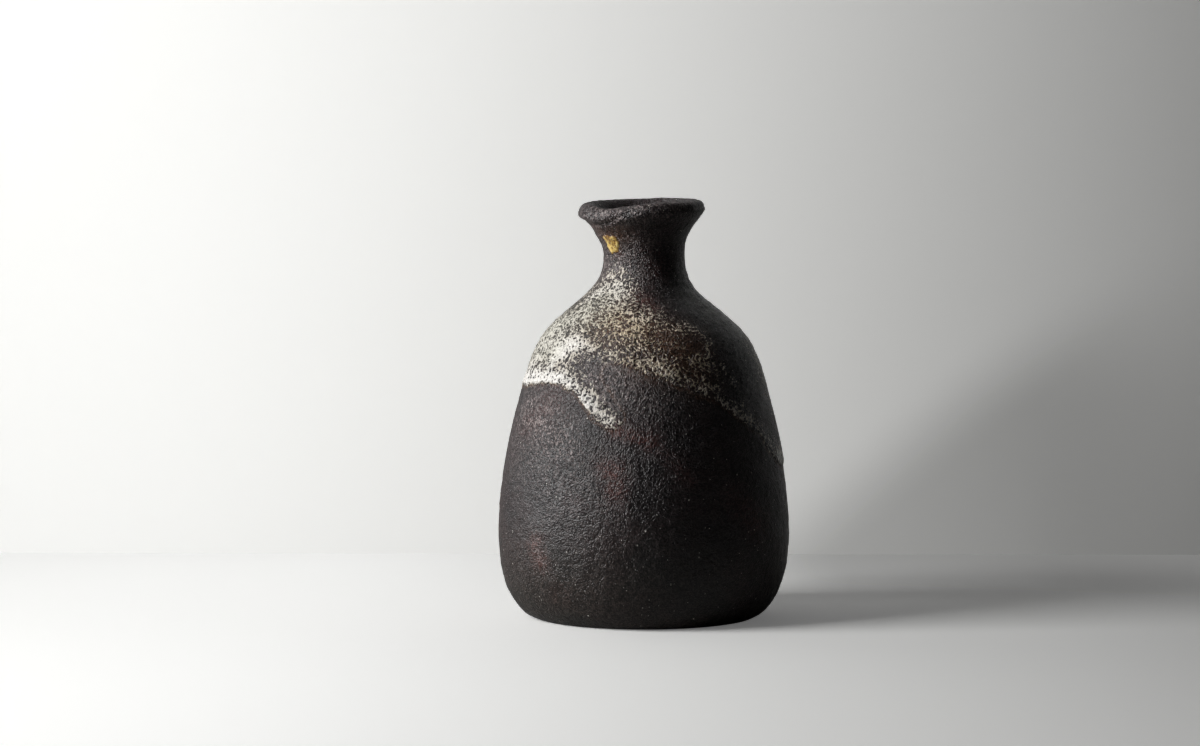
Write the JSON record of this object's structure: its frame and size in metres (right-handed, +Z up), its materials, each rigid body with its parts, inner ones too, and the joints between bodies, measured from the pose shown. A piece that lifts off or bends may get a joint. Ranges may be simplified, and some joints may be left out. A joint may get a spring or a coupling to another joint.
{
  "type": "sake bottle",
  "caption": "Thrown stoneware sake bottle (tokkuri): rounded belly, sloping shoulder, narrow neck, flared mouth with a rolled lip, and a run of natural ash glaze.",
  "frame": {"origin": "centre of the flat foot, on the surface the bottle stands on", "axes": "+Z up along the bottle's turning axis, -Y towards the front with the forked ash run, +X to the right as seen from the front"},
  "size_m": [0.091, 0.091, 0.1306],
  "materials": {
    "iron_clay": "unglazed wood-fired iron clay, leathery, satin",
    "ash_glaze": "speckled natural ash glaze, semi-matt",
    "amber_glaze": "glossy amber glaze drop"
  },
  "bodies": {
    "root": {"floor_slab": "iron_clay", "belly_wall": "iron_clay", "shoulder_wall": "iron_clay", "neck_collar": "iron_clay", "mouth_flare": "iron_clay", "lip_bead": "iron_clay", "ash_glaze": "ash_glaze", "amber_glaze": "amber_glaze"}
  },
  "joints": []
}
